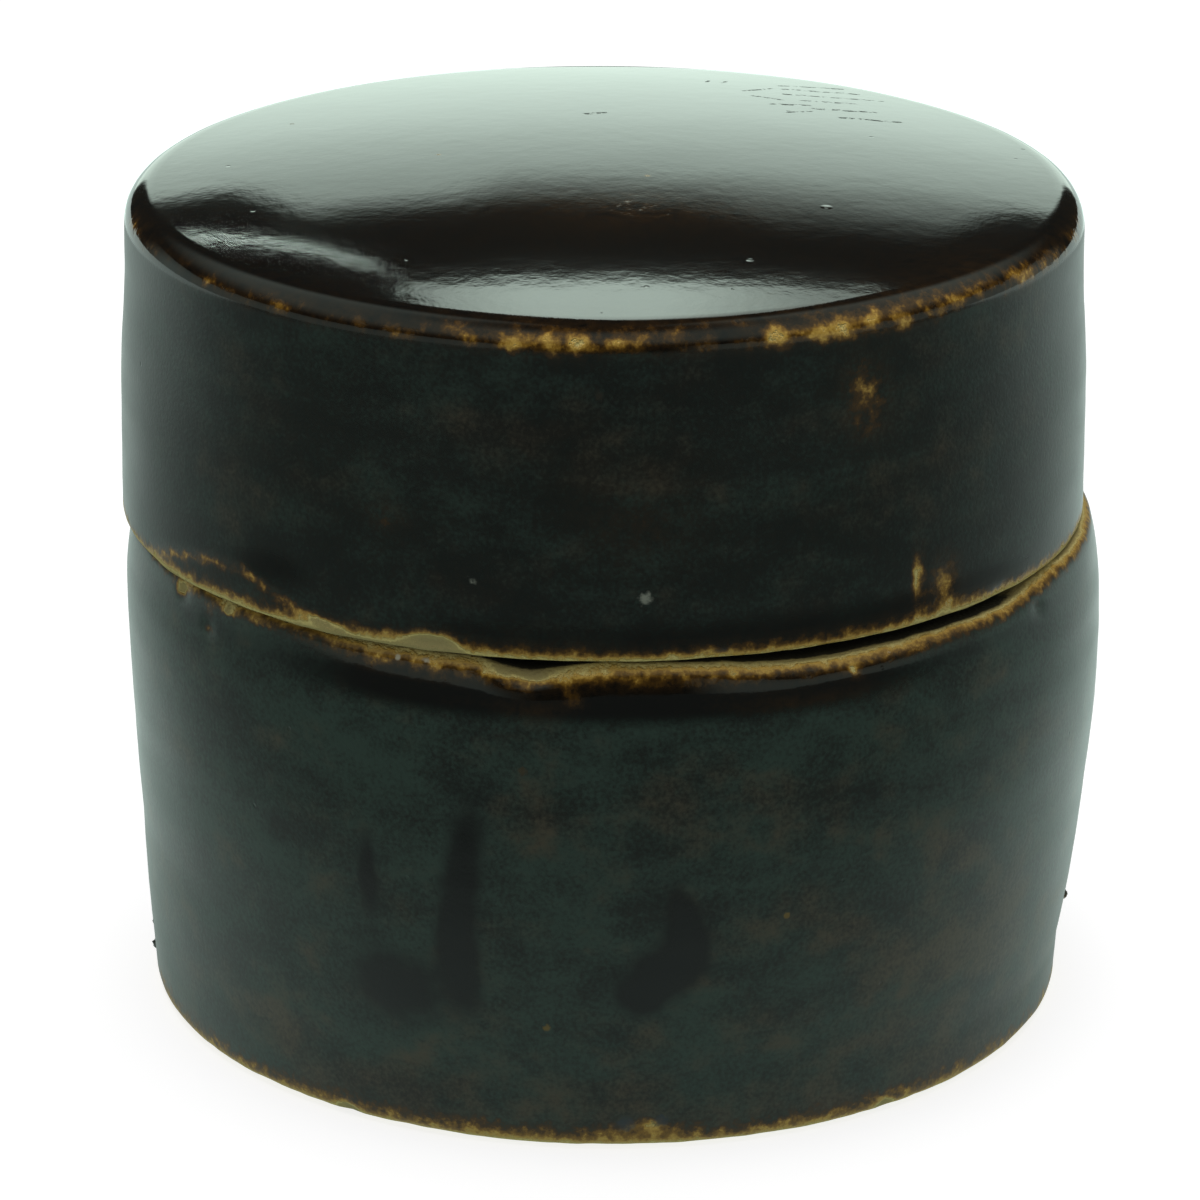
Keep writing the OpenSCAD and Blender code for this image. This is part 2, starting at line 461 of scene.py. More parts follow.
# %% Turn the lid
crown_slope = math.radians(7.3)
dome_r = (lid_r - lid_taper) / math.sin(crown_slope)
dome_h = dome_r * (1 - math.cos(crown_slope))
lid_corners = [
    (0, roof_z, 0),
    (lid_bore_r, roof_z, 5.0),
    (lid_bore_r, seat_z, 0.7),
    (lid_r, seat_z, 0.35),
    (lid_r - lid_taper, crown_top_z - dome_h, shoulder_r),
    (0, crown_top_z - dome_h, 0),
]
lid_outline = turned(lid_corners, lambda r, z: r > lid_bore_r + 2 or z > roof_z + 1, TURN_STEPS)
lid = piece_from(lid_outline, "glazed_lid")
at = points_of(lid)
upper = smooth_step(roof_z, shoulder_z, at[:, 2])
out = out_from(at)
at[:, 2] += upper * (np.sqrt(np.maximum(0, dome_r ** 2 - out ** 2)) - dome_r * math.cos(crown_slope))
at[:, 0] += lid_x
set_points(lid, at)
print(f"lid: {len(lid.data.polygons)} faces, top at {at[:, 2].max():.2f} mm")

# %% [markdown]
# The crown's gloss shows every ripple, so it gets slow, very shallow waves. The lip is uneven and
# chipped, and low on the left of the wall there is a lens-shaped scar where two dips of glaze meet.

# %% Make the lid uneven
angle = way_round(at, lid_x)
height = at[:, 2]
out = out_from(at, lid_x)
outside = (out > lid_bore_r + 2.4) * (height < shoulder_z + 0.6) * 1.0
crown = smooth_step(shoulder_z, shoulder_z + 1.6, height)
slow = drift(at, SLOW_MM, 11)
quick = drift(at, QUICK_MM, 12)
small = drift(at, SMALL_MM, 13)
rings = np.sin(height * 1.9 + 1.2 * np.sin(np.radians(angle)) + 2 * slow)
flare = 0.33 * smooth_step(shoulder_z - 3, shoulder_z - 11, height)
push_out(at, angle, outside * (flare + 0.06 * slow + 0.03 * quick + 0.006 * rings))
at[:, 2] += crown * (0.028 * slow + 0.0045 * quick)
lid_chips = [
    (-20.0, 36.1, 3.6, 0.8, 0.30),
    (38.2, 38.4, 0.5, 3.2, 0.08),
    (42.0, 38.0, 1.6, 1.8, 0.10),
    (30.7, 52.0, 2.2, 2.8, 0.06),
    (12.5, 35.6, 3.0, 0.6, 0.15),
    (52, 35.7, 2.2, 0.7, 0.18),
    (-48, 35.5, 3, 0.6, 0.12),
]
knock_off(lid_chips, at, angle, height, outside, small)
print("chips in the lid:", len(lid_chips))

# %% The scar and the lip
scar_top = np.interp(
    angle, [-66, -60, -56.7, -50.9, -44.5, -40.5, -36.7, -31.7, -28],
    [36.0, 36.9, 37.3, 38.0, 38.2, 37.4, 36.8, 36.0, 35.4])
scar_reach = smooth_step(-66, -60, angle) * smooth_step(-28.5, -33, angle)
scar_edge = scar_reach * np.exp(-(((height - scar_top) / 0.32) ** 2))
scar_body = scar_reach * smooth_step(0.1, -0.5, height - scar_top)
push_out(at, angle, outside * (0.18 * scar_body + 0.10 * scar_edge))
lip = smooth_step(seat_z + 1.5, seat_z + 0.2, height) * (out > lid_bore_r + 0.5)
at[:, 2] += lip * (0.05 + 0.06 * quick + 0.07 * small) * smooth_step(lid_bore_r + 1.5, lid_r - 0.7, out)
set_points(lid, at)
print(f"the scar is {scar_top.max() - seat_z:.1f} mm high at most")

# %% [markdown]
# The glaze flows off the lid's shoulder, and leaves a broken amber line there. It is widest at the
# front. The marks below are the thin places: the scar's edge, an amber spot high on the right, a chip
# and a crack at the lip.

# %% The lid's coat
height = at[:, 2]
ragged = height + 0.25 * quick + 0.15 * small
lid_coat = np.interp(ragged - seat_z, [-0.1, 0.1, 0.45, 0.8, 1.4], [-0.3, 0.0, 0.2, 0.5, 1.0])
front = smooth_step(-30, -8, angle) * smooth_step(75, 52, angle)
run_off = np.exp(-(((ragged - shoulder_z - 0.75) / (0.62 + 0.25 * front)) ** 2))
lid_coat -= run_off * (0.30 + 0.30 * front + 0.30 * quick + 0.65 * small)
lid_coat = np.where(height > shoulder_z - 1, np.maximum(lid_coat, 0.14), lid_coat)
crown_patch = np.exp(-(((at[:, 0] - 1.5) / 10.0) ** 2 + ((at[:, 1] + 11.0) / 5.0) ** 2))
lid_coat -= 0.20 * crown * crown_patch * (1 + 0.5 * quick)
lid_coat -= 0.78 * scar_edge * outside * (0.95 + 0.4 * small)
lid_coat -= 0.16 * scar_body * outside
lid_coat -= 0.64 * mark(angle, height, 30.7, 52.0, 3.4, 5.0) * (1 + 0.3 * small)
lid_coat -= 1.3 * mark(angle, height, -19.7, 36.1, 3.4, 1.5) * (0.9 + 0.6 * small)
lid_coat -= 0.80 * mark(angle, height, 42.2, 38.0, 2.6, 3.4)
lid_coat -= 1.2 * mark(angle, height, 38.1, 38.7, 0.8, 4.2)
lid_coat -= 0.3 * mark(angle, height, -24.5, 44.3, 3.0, 2.0) + 0.2 * mark(angle, height, 4, 45, 9, 6)
inside = (out < lid_bore_r + 2.4) & (height < roof_z + 0.6)
lid_coat = np.where(inside, np.clip((ragged - seat_z - 4.5) / 1.5, -0.3, 0.9), lid_coat)
print(f"bare clay on {np.mean(lid_coat <= 0):.0%} of the lid's points")

# %% [markdown]
# The crown is glossy all over. The wall is satin but for a low band at the front and a patch beside the
# scar. The lip stands in the ink that crept over the pot's seat, so it is stained too.

# %% The lid's gloss, ink and warm patches
lid_gloss = smooth_step(shoulder_z - 0.4, shoulder_z + 0.5, height)
low_gloss = smooth_step(39.5, 37.0, height) * smooth_step(-40, -10, angle) * smooth_step(75, 50, angle)
scar_side = mark(angle, height, -41, 39.0, 9, 3.6) * (1 - scar_body)
lid_gloss = np.maximum(lid_gloss, 0.6 * np.maximum(low_gloss, scar_side))
lid_gloss = np.where(inside, 0.8, lid_gloss)
lip_ink = (height < seat_z + 0.45) * smooth_step(lid_r - 0.35, lid_r - 0.8, out) * (0.75 + 0.4 * small)
paint(lid, "ink", np.clip(lip_ink, 0, 1))
lid_warm = 0.7 * mark(angle, height, -10, 50, 26, 5) + 0.6 * mark(angle, height, 35, 45, 30, 4)
paint(lid, "warm", lid_warm + 0.5 * mark(angle, height, -45, 44, 20, 5))
paint(lid, "coat", lid_coat)
paint(lid, "gloss", lid_gloss)
print(f"gloss on {np.mean(lid_gloss > 0.5):.0%} of the lid's points")

# %% [markdown]
# ## Writing shader maths as formulas
#
# A glaze is a long sum of masks and noises. Wiring dozens of Math nodes by hand is hard to read, so a
# small class wraps a socket and lets Python's own operators add the nodes. `Finish` holds one
# material's tree, and its `node` method makes any other node from its type, its settings and the values
# or links of its sockets.

# %% A socket that understands + - * /
class Wire:
    def __init__(self, finish, socket):
        self.finish = finish
        self.socket = socket

    def math(self, operation, first, second=0.0):
        return self.finish.node("ShaderNodeMath", {"operation": operation}, {0: first, 1: second}).out(0)

    def __add__(self, other):
        return self.math("ADD", self, other)

    def __sub__(self, other):
        return self.math("SUBTRACT", self, other)

    def __mul__(self, other):
        return self.math("MULTIPLY", self, other)

    def __truediv__(self, other):
        return self.math("DIVIDE", self, other)

    def __rsub__(self, other):
        return self.math("SUBTRACT", other, self)

    def __rtruediv__(self, other):
        return self.math("DIVIDE", other, self)

    __radd__ = __add__
    __rmul__ = __mul__

    def above(self, other):
        return self.math("GREATER_THAN", self, other)

    def absolute(self):
        return self.math("ABSOLUTE", self)

    def step(self, low, high):
        """0 below low, 1 above high, smooth between. With low above high it runs the other way."""
        made = self.finish.node(
            "ShaderNodeMapRange", {"interpolation_type": "SMOOTHSTEP"},
            {0: self, 1: min(low, high), 2: max(low, high), 3: float(low > high), 4: float(low < high)})
        return made.out(0)


# %% A node that was just made
class Made:
    """A node that was just made, with its outputs as wires."""
    def __init__(self, finish, node):
        self.finish = finish
        self.node = node

    def out(self, key):
        return Wire(self.finish, self.node.outputs[key])


# %% One material's nodes
class Finish:
    def __init__(self, name=None, tree=None):
        if tree is None:
            self.material = bpy.data.materials.new(name)
            self.material.use_nodes = True
            tree = self.material.node_tree
        self.tree = tree
        self.tree.nodes.clear()

    def node(self, kind, settings=None, sockets=None):
        """Makes a node of a kind. Its settings are set first, then its sockets get values or wires."""
        made = self.tree.nodes.new(kind)
        for name, value in (settings or {}).items():
            if name == "stops":
                self.set_stops(made.color_ramp, value)
            else:
                setattr(made, name, value)
        for key, value in (sockets or {}).items():
            if isinstance(value, Wire):
                self.tree.links.new(value.socket, made.inputs[key])
            else:
                made.inputs[key].default_value = value
        return Made(self, made)

    @staticmethod
    def set_stops(ramp, stops):
        while len(ramp.elements) < len(stops):
            ramp.elements.new(1.0)
        for element, (position, colour) in zip(ramp.elements, stops):
            element.position = position
            element.color = (*colour, 1.0)

    def attribute(self, name):
        return self.node("ShaderNodeAttribute", {"attribute_name": name}).out("Fac")

    def place(self):
        """Object coordinates in millimetres."""
        here = self.node("ShaderNodeTexCoord").out("Object")
        return self.node("ShaderNodeVectorMath", {"operation": "SCALE"}, {0: here, 3: 1 / MM}).out(0)

    def noise(self, place, size, detail=2.0, roughness=0.5, distortion=0.0, stretch=(1, 1, 1),
              shift=(0, 0, 0)):
        """Smooth noise around zero, from about -1 to 1, with lumps about size millimetres across."""
        moved = self.node("ShaderNodeMapping", {}, {
            "Vector": place, "Scale": stretch, "Location": shift}).out(0)
        made = self.node("ShaderNodeTexNoise", {}, {
            "Vector": moved, "Scale": 1 / size, "Detail": detail, "Roughness": roughness,
            "Distortion": distortion})
        return (made.out(0) - 0.5) * 4

    def mix(self, share, first, second):
        """A colour that goes from first to second as share goes from 0 to 1."""
        colours = [end if isinstance(end, Wire) else (*end, 1) for end in (first, second)]
        made = self.node(
            "ShaderNodeMix", {"data_type": "RGBA", "clamp_factor": True},
            {0: share, 6: colours[0], 7: colours[1]})
        return made.out(2)

    def ramp(self, value, stops):
        return self.node("ShaderNodeValToRGB", {"stops": stops}, {0: value}).out(0)

    def distance(self, first, second):
        made = self.node("ShaderNodeVectorMath", {"operation": "DISTANCE"}, {0: first, 1: second})
        return made.out("Value")

    def bump(self, height):
        """A normal for a height in millimetres."""
        return self.node("ShaderNodeBump", {}, {"Height": height, "Strength": 1.0, "Distance": MM}).out(0)

    def finish_with(self, shader):
        self.node("ShaderNodeOutputMaterial", {}, {"Surface": shader})
        return self.material


# %% [markdown]
# ## The iron glaze
#
# An iron glaze is nearly black glass. Its colour comes from its thickness: bare clay is buff, the
# thinnest film is ochre, then amber, brown, and black from about a third of a millimetre. So one colour
# ramp runs along the painted thickness, and noise shifts that thickness to break the edges up. Two
# materials come from the same recipe. The lid's has a thinner, patchier satin film, so the lid is a
# little darker than the pot.

# %% What the glaze reads
class Glaze(Finish):
    """A material that starts with the painted numbers and the noises that colour and surface share."""
    def __init__(self, name):
        super().__init__(name)
        self.here = self.place()
        self.coat = self.attribute("coat")
        self.gloss = self.attribute("gloss")
        self.ink = self.attribute("ink")
        self.warm = self.attribute("warm")
        self.edge_noise = self.noise(self.here, 0.9, 4, 0.6)
        self.fine_noise = self.noise(self.here, 0.28, 2, 0.5)
        self.cloud = self.noise(self.here, 7.0, 3, 0.55, stretch=(1, 1, 1.6))
        self.drift = self.noise(self.here, 2.6, 4, 0.6, shift=(31, 7, 3))
        self.wash = self.noise(self.here, 5.0, 4, 0.6, stretch=(0.6, 0.6, 1.4), shift=(3, 50, 12))
        break_up = self.coat.step(0.97, 0.7) * self.coat.step(0.0, 0.45) * 0.30 + 0.05
        self.thin = self.coat + self.edge_noise * break_up + self.fine_noise * 0.06
        self.satin = (1 - self.gloss).step(0.15, 0.85)
        self.bare = self.thin.step(0.16, 0.02)


# %% [markdown]
# The open wall is covered by a dull film of fine green-grey crystals, patchy, with brown drifts where
# it is warm. `film_depth` says how dense the film is at most, and `film_start` how much of the wall it
# covers: the lower it is, the more. Over the film lie a few pale flecks, and the ink stains cover
# everything. On the pot's seat that black is also painted shade for the gap under the lid's lip.

# %% Colour from thickness, film, ink and painted gap shade
THICKNESS_COLOURS = [
    (0.00, (0.38, 0.31, 0.13)),
    (0.20, (0.42, 0.34, 0.13)),
    (0.26, (0.70, 0.58, 0.22)),
    (0.32, (0.58, 0.36, 0.07)),
    (0.39, (0.26, 0.135, 0.018)),
    (0.48, (0.080, 0.038, 0.007)),
    (0.60, (0.022, 0.012, 0.005)),
    (0.76, (0.0052, 0.0043, 0.0036)),
    (1.00, (0.0035, 0.0035, 0.0034)),
]
FILM_GREEN = (0.0290, 0.0550, 0.0410)
FILM_BROWN = (0.0720, 0.0580, 0.0340)
FLECK_COLOUR = (0.05, 0.045, 0.03)
# Black for ink stains, and painted shade on the seat under the lid's lip.
INK_AND_SHADE_BLACK = (0.004, 0.0038, 0.004)


def glaze_colour(glaze, film_depth, film_start):
    colour = glaze.ramp(glaze.thin * 0.5 + 0.25, THICKNESS_COLOURS)
    film = glaze.satin * glaze.thin.step(0.45, 0.85) * (1 - glaze.thin.step(1.05, 1.35) * 0.9)
    brown_share = (glaze.cloud * 0.6 + glaze.drift * 0.5 + glaze.warm * 0.7).step(0.0, 1.0)
    film_colour = glaze.mix(brown_share, FILM_GREEN, FILM_BROWN)
    film_noise = glaze.wash * 0.8 + glaze.drift * 0.4 + glaze.fine_noise * 0.6
    thick_film = 0.16 + film_noise.step(film_start, film_start + 1.8) * 0.84
    colour = glaze.mix(film * thick_film * film_depth, colour, film_colour)
    fleck = glaze.fine_noise.step(1.25, 1.6) * glaze.thin.step(0.5, 0.9)
    colour = glaze.mix(fleck * 0.5, colour, FLECK_COLOUR)
    # The ink attribute blackens stains, and on the seat it paints the shade of the gap under the lid.
    ink_and_shade_share = (glaze.ink + glaze.fine_noise * 0.08).step(0.25, 0.6)
    return glaze.mix(ink_and_shade_share * 0.93, colour, INK_AND_SHADE_BLACK)


def glaze_roughness(glaze):
    glazed = 0.06 + glaze.satin * 0.34 + glaze.wash * glaze.satin * 0.03
    rough = glazed * (1 - glaze.bare) + glaze.bare * 0.85
    return rough + glaze.thin.step(0.55, 0.2) * 0.1


# %% [markdown]
# Small specks in the glaze are grit from the kiln, pale, ochre or brown. Each is a ragged round spot,
# made from the distance to one point. The scuffs are short dark scratches on the crown, such as a heavy
# thing stood on the lid leaves. A Mapping node moves and turns the place so that a scuff's middle is at
# zero and its length lies along X. They spell nothing.

# %% Specks and scuffs
def with_specks(glaze, specks, colour, rough):
    """Adds specks. Each has a place, a radius in millimetres and a colour."""
    for centre, size, tone in specks:
        wobble = (glaze.fine_noise * 0.25 + glaze.edge_noise * 0.30) * size
        spot = (glaze.distance(glaze.here, centre) + wobble).step(size, size * 0.35) * 0.8
        colour = glaze.mix(spot, colour, tone)
        rough = rough + spot * 0.3
    return colour, rough


def with_scuffs(glaze, scuffs, colour, rough):
    """Adds scuffs. Each has a place, a length, half its width, and a turn in radians."""
    for centre, length, width, turn in scuffs:
        turned_place = glaze.node("ShaderNodeMapping", {"vector_type": "TEXTURE"}, {
            "Vector": glaze.here, "Location": centre, "Rotation": (0, 0, turn)}).out(0)
        split = glaze.node("ShaderNodeSeparateXYZ", {}, {0: turned_place})
        along = split.out(0).absolute()
        across = (split.out(1) + glaze.drift * 0.22).absolute()
        line = (across + glaze.fine_noise * 0.06).step(width, width * 0.4)
        line = line * along.step(length / 2, length / 2 - 0.5)
        line = line * (glaze.edge_noise + glaze.fine_noise).step(-0.25, 0.1)
        colour = glaze.mix(line * 0.9, colour, (0.004, 0.004, 0.004))
        rough = rough + line * 0.5
    return colour, rough


# %% [markdown]
# The crown is a clear gloss with the shallow unevenness that potters call orange peel, and here and
# there a pit where a bubble burst. Bare clay lies lower than the glaze and is coarse. All of it is far
# too fine for the mesh, so it is one height in millimetres that a Bump node turns into a normal.

# %% The glaze's surface, and the whole glaze
def glaze_height(glaze, lumps):
    """The surface's height in millimetres. Each lump has a place and a radius."""
    peel = glaze.noise(glaze.here, 1.1, 2, 0.5)
    cells = glaze.node("ShaderNodeTexVoronoi", {"feature": "F1"}, {"Vector": glaze.here, "Scale": 0.38})
    chosen = glaze.node("ShaderNodeSeparateColor", {}, {0: cells.out("Color")}).out(0).above(0.72)
    pit = cells.out("Distance").step(0.075, 0.03) * chosen
    lumpy = glaze.thin.step(0.72, 0.45)
    height = peel * (0.0011 + lumpy * 0.012) + glaze.cloud * 0.0045 - pit * 0.022
    for centre, size in lumps:
        height = height + glaze.distance(glaze.here, centre).step(size, 0.0) * size * 0.05
    height = height + glaze.fine_noise * (0.0004 + glaze.bare * 0.03 + glaze.satin * 0.003)
    return height - glaze.bare * 0.12


def iron_glaze(name, film_depth, film_start, specks, scuffs, lumps):
    glaze = Glaze(name)
    colour = glaze_colour(glaze, film_depth, film_start)
    rough = glaze_roughness(glaze)
    colour, rough = with_specks(glaze, specks, colour, rough)
    colour, rough = with_scuffs(glaze, scuffs, colour, rough)
    normal = glaze.bump(glaze_height(glaze, lumps))
    shader = glaze.node("ShaderNodeBsdfPrincipled", {}, {
        "Base Color": colour, "Roughness": rough, "IOR": 1.5, "Normal": normal})
    return glaze.finish_with(shader.out(0))


# %% [markdown]
# A speck's place has to lie on the curved surface, or the speck would hide in the clay. So each place
# is worked out from a way round and a height, or from x and y on the crown.

# %% Points on the pot and the lid
def on_pot(angle_deg, z):
    r = float(thrown_wall(z))
    return (r * math.sin(math.radians(angle_deg)), -r * math.cos(math.radians(angle_deg)), z)


def on_lid(angle_deg, z):
    r = lid_r - lid_taper * (z - seat_z) / (shoulder_z - seat_z)
    return (lid_x + r * math.sin(math.radians(angle_deg)), -r * math.cos(math.radians(angle_deg)), z)


def on_crown(x, y):
    return (x, y, crown_top_z - (x * x + y * y) / (2 * dome_r))


# %% Place the specks and scuffs
PALE = (0.30, 0.31, 0.25)
OCHRE = (0.20, 0.13, 0.03)
CREAM = (0.48, 0.46, 0.36)
BROWN = (0.06, 0.04, 0.015)
SLATE = (0.045, 0.06, 0.07)
lid_specks = [
    (on_lid(4.7, 39.8), 0.60, PALE),
    (on_lid(-14.6, 40.7), 0.50, PALE),
    (on_lid(-0.4, 53.5), 0.45, (0.03, 0.022, 0.012)),
    (on_crown(-12.0, 1.1), 0.28, OCHRE),
    (on_crown(2.4, -4.5), 0.30, OCHRE),
    (on_crown(-22.7, 12.5), 0.30, (0.1, 0.09, 0.05)),
]
scuffs = [
    (on_crown(7.0, 24.9), 1.2, 0.22, 1.2),
    (on_crown(8.2, 24.7), 1.4, 0.22, 1.1),
    (on_crown(14.6, 24.4), 5.6, 0.18, 0.02),
    (on_crown(15.2, 22.8), 6.2, 0.24, -0.03),
    (on_crown(10.6, 22.2), 3.2, 0.22, 0.55),
    (on_crown(15.8, 20.8), 8.2, 0.20, -0.02),
    (on_crown(11.2, 19.2), 3.0, 0.24, -0.45),
    (on_crown(15.6, 18.8), 4.6, 0.24, 0.04),
    (on_crown(12.8, 17.0), 3.4, 0.26, 0.10),
    (on_crown(16.6, 16.2), 5.2, 0.30, 0.03),
    (on_crown(13.4, 14.8), 2.6, 0.20, 0.40),
    (on_crown(18.4, 13.6), 5.0, 0.24, -0.02),
    (on_crown(-1.2, 12.3), 2.2, 0.34, 0.3),
]
pot_specks = [
    (on_pot(20.2, 17.0), 0.30, OCHRE),
    (on_pot(-7.0, 9.2), 0.36, OCHRE),
    (on_pot(-24.3, 34.7), 0.30, CREAM),
    (on_pot(-21.0, 34.8), 0.35, CREAM),
    (on_pot(33.0, 34.4), 0.30, CREAM),
    (on_pot(-9.6, 28.0), 0.40, BROWN),
    (on_pot(2.0, 1.9), 0.9, SLATE),
    (on_pot(6.4, 2.1), 0.7, (0.04, 0.055, 0.065)),
]
lid_lumps = [(on_crown(14.4, -10.0), 0.5), (on_crown(9.0, -21.0), 0.35)]
pot.data.materials.append(iron_glaze("pot_glaze", 1.0, -1.0, pot_specks, [], []))
lid.data.materials.append(iron_glaze("lid_glaze", 0.75, -0.45, lid_specks, scuffs, lid_lumps))
print("specks:", len(lid_specks) + len(pot_specks), "scuffs:", len(scuffs))

# %% [markdown]
# The lid is lifted off by hand, so it rides on the moving body and the pot on the fixed one. Each takes
# the place of its plain CAD node.

# %% The pot and the lid take their places
for piece, body, node, slot in ((pot, "base", "pot", "pot_glaze"), (lid, "cover", "lid", "lid_glaze")):
    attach(piece, body)
    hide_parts(node)
    print(piece.name, "rides on", body)

# %% [markdown]
# ## The ink wad
#
# A pad of silk floss lies in the bowl and holds the ink. Silk floss is a heap of very long fibres, so
# the pad is soft, crowned and creased all over. It starts as a flat round pad that is humped by noise
# and hollow in the middle, where the brush is dipped.

# %% Turn the wad's first shape
wad_r = (wad_high.x - wad_low.x) / 2
wad_corners = [
    (0, floor_z + 0.2, 0),
    (wad_r - 1.4, floor_z + 0.2, 6.0),
    (wad_r - 1.0, wad_high.z - 2.6, 3.0),
    (0, wad_high.z - 1.4, 0),
]
WAD_TURN_STEPS = 120
wad = piece_from(turned(wad_corners, lambda r, z: True, WAD_TURN_STEPS, COARSE), "silk_wad")
at = points_of(wad)
low_part = smooth_step(12, 6, at[:, 2])
push_out(at, way_round(at), -1.0 * low_part * np.minimum(1, out_from(at) / 20))
hump = smooth_step(floor_z + 3, wad_high.z - 2, at[:, 2])
dip_ring = np.exp(-(((out_from(at) - 4) / 5) ** 2))
at[:, 2] += hump * (0.7 * drift(at, 9, 21) + 0.35 * drift(at, 4, 22) - 0.9 * dip_ring)
set_points(wad, at)
print(f"wad: {len(wad.data.polygons)} faces, {at[:, 2].max() - at[:, 2].min():.1f} mm thick")

# %% [markdown]
# A short cloth simulation swells the pad. Pressure blows it up while its skin grows by about an eighth,
# so the skin has to buckle into folds, as silk does when it is stuffed into a bowl. The solver's
# settings suit things the size of a cushion, so it runs ten times larger. Its lowest part is pinned,
# because it rests on the bowl's floor.

# %% Swell the wad
SIM_SCALE = 10
SIM_FRAMES = 20
MOST_SWELL = 1.3
pinned = wad.vertex_groups.new(name="resting")
pinned.add([i for i, p in enumerate(at) if p[2] < floor_z + 1.2], 1.0, "REPLACE")
wad.data.transform(Matrix.Scale(SIM_SCALE, 4))
before = points_of(wad)
cloth = wad.modifiers.new("swell", "CLOTH")
cloth.settings.use_pressure = True
cloth.settings.uniform_pressure_force = 4
cloth.settings.shrink_min = -0.12
cloth.settings.vertex_group_mass = "resting"
cloth.settings.effector_weights.gravity = 0
cloth.settings.quality = 6
scene.frame_start = 1
scene.frame_end = SIM_FRAMES
for count in range(1, SIM_FRAMES + 1):
    scene.frame_set(count)
swollen = wad.evaluated_get(bpy.context.evaluated_depsgraph_get())
after = np.empty(len(before) * 3)
swollen.data.vertices.foreach_get("co", after)
move = after.reshape(-1, 3) / MM - before
length = np.linalg.norm(move, axis=1, keepdims=True)
most = MOST_SWELL * SIM_SCALE
move *= np.minimum(1, most / np.maximum(length, 0.001))
wad.modifiers.clear()
wad.vertex_groups.clear()
scene.frame_set(1)
set_points(wad, (before + move) / SIM_SCALE)
print(f"the wad moved by up to {min(float(length.max()), most) / SIM_SCALE:.2f} mm")

# %% [markdown]
# The bowl holds the wad in. The simulation doesn't know the bowl, whose lower corner is round, so
# points that went past its wall or its floor are moved back to just inside. A subdivision surface then
# smooths the skin.

# %% The bowl holds the wad in
WAD_GAP = 0.15
at = points_of(wad)
at[:, 2] = np.maximum(at[:, 2], floor_z + WAD_GAP)
into_corner = np.clip(bowl_corner_r - (at[:, 2] - floor_z), 0, bowl_corner_r)
corner_reach = np.sqrt(bowl_corner_r ** 2 - into_corner ** 2)
bowl_r = thrown_wall(at[:, 2]) - pot_wall - bowl_corner_r + corner_reach
too_far = np.maximum(0, out_from(at) - (bowl_r - WAD_GAP))
push_out(at, way_round(at), -too_far)
set_points(wad, at)
print(f"the bowl presses the wad in by up to {too_far.max():.2f} mm")
smoother = wad.modifiers.new("smooth_skin", "SUBSURF")
smoother.levels = 1
smoother.render_levels = 1

# %% [markdown]
# Wet, inked silk is nearly black. The crests of its strands get a lighter base colour, a painted sheen
# that stands in for the light they catch. The strands run in two directions, so they are made by two
# noises that are stretched across each other, and the higher of both is taken.

# %% Inked silk
INK_DEEP = (0.016, 0.017, 0.021)
# A lighter colour for the strand crests: a painted sheen.
PAINTED_STRAND_SHEEN = (0.110, 0.110, 0.125)
silk = Finish("inked_silk")
here = silk.place()
strand = silk.noise(here, 0.5, 5, 0.65, 0.8, stretch=(0.25, 1, 1))
strand_across = silk.noise(here, 0.5, 5, 0.65, 0.8, stretch=(1, 0.25, 1), shift=(5, 9, 2))
patch = silk.noise(here, 6, 2)
weave = strand.math("MAXIMUM", strand, strand_across)
ink_shader = silk.node("ShaderNodeBsdfPrincipled", {}, {
    "Base Color": silk.mix(weave.step(0.2, 1.4), INK_DEEP, PAINTED_STRAND_SHEEN),
    "Roughness": 0.32 + weave.step(0.0, 1.2) * 0.3,
    "Normal": silk.bump(weave * 0.10 + patch * 0.05)})
wad.data.materials.append(silk.finish_with(ink_shader.out(0)))
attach(wad, "base")
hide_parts("ink_wad")
print(wad.name, "rides on base")

# %% [markdown]
# ## Kiln grit
#
# A few grains from the kiln shelf have stuck to the melted glaze at the sides. Each starts as a small
# ball that is pushed about by noise and sunk into the wall. It has a way round, a height, a radius, and
# how far the leaning wall stands out there. The grains share the pot's glaze, with a thin coat, so they
# come out brown.

# %% Stick the grit on
GRAIN_SUNK = 0.35
grains = [
    (-88, 2.9, 0.30, 0.40),
    (-86, 1.7, 0.42, 0.50),
    (86, 5.9, 0.36, 0.0),
    (-122, 9, 0.5, 0.0),
    (150, 7, 0.5, 0.0),
]
grit_bm = bmesh.new()
for at_angle, z, size, out_by in grains:
    made = bmesh.ops.create_icosphere(grit_bm, subdivisions=3, radius=size)
    centre = Vector(on_pot(at_angle, z))
    for vert in made["verts"]:
        vert.co *= 1 + 0.35 * noise.noise(vert.co * 2.2 / size + Vector((at_angle, z, 0)))
    outwards = centre.xy.normalized().to_3d() * (out_by - size * GRAIN_SUNK)
    bmesh.ops.translate(grit_bm, verts=made["verts"], vec=centre + outwards)
grit = piece_from(grit_bm, "kiln_grit")
grit_points = points_of(grit)
paint(grit, "ink", np.zeros(len(grit_points)))
paint(grit, "coat", 0.62 + 0.2 * drift(grit_points, 0.8, 31))
paint(grit, "gloss", np.full(len(grit_points), 0.4))
paint(grit, "warm", np.ones(len(grit_points)))
grit.data.materials.append(pot.data.materials[0])
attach(grit, "base")
print("grains:", len(grains))

# %% [markdown]
# ## Floor, light and camera
#
# The floor is plain white paper. A studio lights glossy pottery by what the glaze mirrors, and hides
# the lamps. So the paper answers in three ways, told apart by a Light Path node. The camera sees it
# nearly white. A glossy ray sees it bright behind the pot and dim in front, which shapes the pot's
# sides. Every other ray sees one even grey light.

